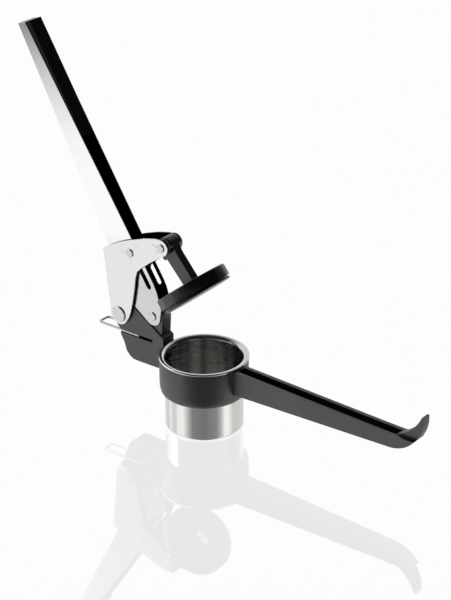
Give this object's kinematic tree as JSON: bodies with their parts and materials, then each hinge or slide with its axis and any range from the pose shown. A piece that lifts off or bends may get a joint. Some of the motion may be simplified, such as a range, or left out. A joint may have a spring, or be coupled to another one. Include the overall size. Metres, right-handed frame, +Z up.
{
  "type": "potato ricer",
  "caption": "Standing-open potato ricer: perforated steel cup in a black trough-handled frame, steel channel lever, link plates and a hinged round plunger.",
  "frame": {"origin": "centre of the underside of the perforated cup's base, which rests on the table", "axes": "+Z up along the cup's axis, +X out along the fixed trough handle towards its upturned end, +Y to the left of someone looking along +X; the mechanism is symmetric about y = 0 and is stored standing open"},
  "size_m": [0.49, 0.092, 0.3873],
  "materials": {
    "frame_black": "black fine-grained coating",
    "cup_steel": "bright",
    "sheet_steel": "satin",
    "pin_steel": "bright",
    "bush_steel": "satin",
    "wire_steel": "bright",
    "plunger_black": "satin",
    "grip_black": "glossy"
  },
  "bodies": {
    "frame": {"frame_body": "frame_black", "press_cup": "cup_steel", "link_pivot_bush": "bush_steel", "link_pivot_washers": "bush_steel"},
    "link_shaft": {"link_pivot_pin": "pin_steel", "link_pivot_cap": "pin_steel"},
    "links": {"link_plate_left": "sheet_steel", "link_plate_right": "sheet_steel", "drive_pin_left": "pin_steel", "drive_pin_right": "pin_steel", "plunger_pin": "pin_steel"},
    "plunger": {"plunger_stem": "plunger_black", "plunger_disc": "plunger_black", "press_plate": "plunger_black", "plunger_screws": "pin_steel"},
    "lever_shaft": {"lever_pivot_pin": "pin_steel", "lever_pivot_cap": "pin_steel", "lever_pivot_bush": "bush_steel"},
    "lever": {"lever_channel": "sheet_steel", "grip_insert": "grip_black", "grip_screws": "pin_steel"},
    "bail": {"hanging_bail": "wire_steel"}
  },
  "joints": [
    {"name": "lever_swing", "type": "hinge", "parent": "frame", "child": "lever_shaft", "pos_m": [-0.0598, 0, 0.1052], "axis": [0, 1, 0], "range_deg": [0, 38.21]},
    {"name": "lever_press", "type": "hinge", "parent": "lever_shaft", "child": "lever", "pos_m": [-0.0598, 0, 0.1052], "axis": [0, 1, 0], "range_deg": [0, 74.09]},
    {"name": "link_swing", "type": "hinge", "parent": "frame", "child": "link_shaft", "pos_m": [-0.1022, 0, 0.0964], "axis": [0, 1, 0], "range_deg": [0, 39.41]},
    {"name": "link_press", "type": "hinge", "parent": "link_shaft", "child": "links", "pos_m": [-0.1022, 0, 0.0964], "axis": [0, 1, 0], "range_deg": [0, 36.99]},
    {"name": "plunger_slide", "type": "slide", "parent": "link_shaft", "child": "plunger", "axis": [0.6347, 0, -0.7727], "range_m": [0, 0.0681]},
    {"name": "bail_slide", "type": "slide", "parent": "frame", "child": "bail", "axis": [1, 0, 0], "range_m": [0, 0.018]}
  ],
  "couplings": [
    {"joint": "link_swing", "follows": "lever_swing", "ratio": 1.031},
    {"joint": "link_press", "follows": "lever_press", "ratio": 0.4991},
    {"joint": "plunger_slide", "follows": "lever_press", "m_per_rad": 0.05258}
  ]
}
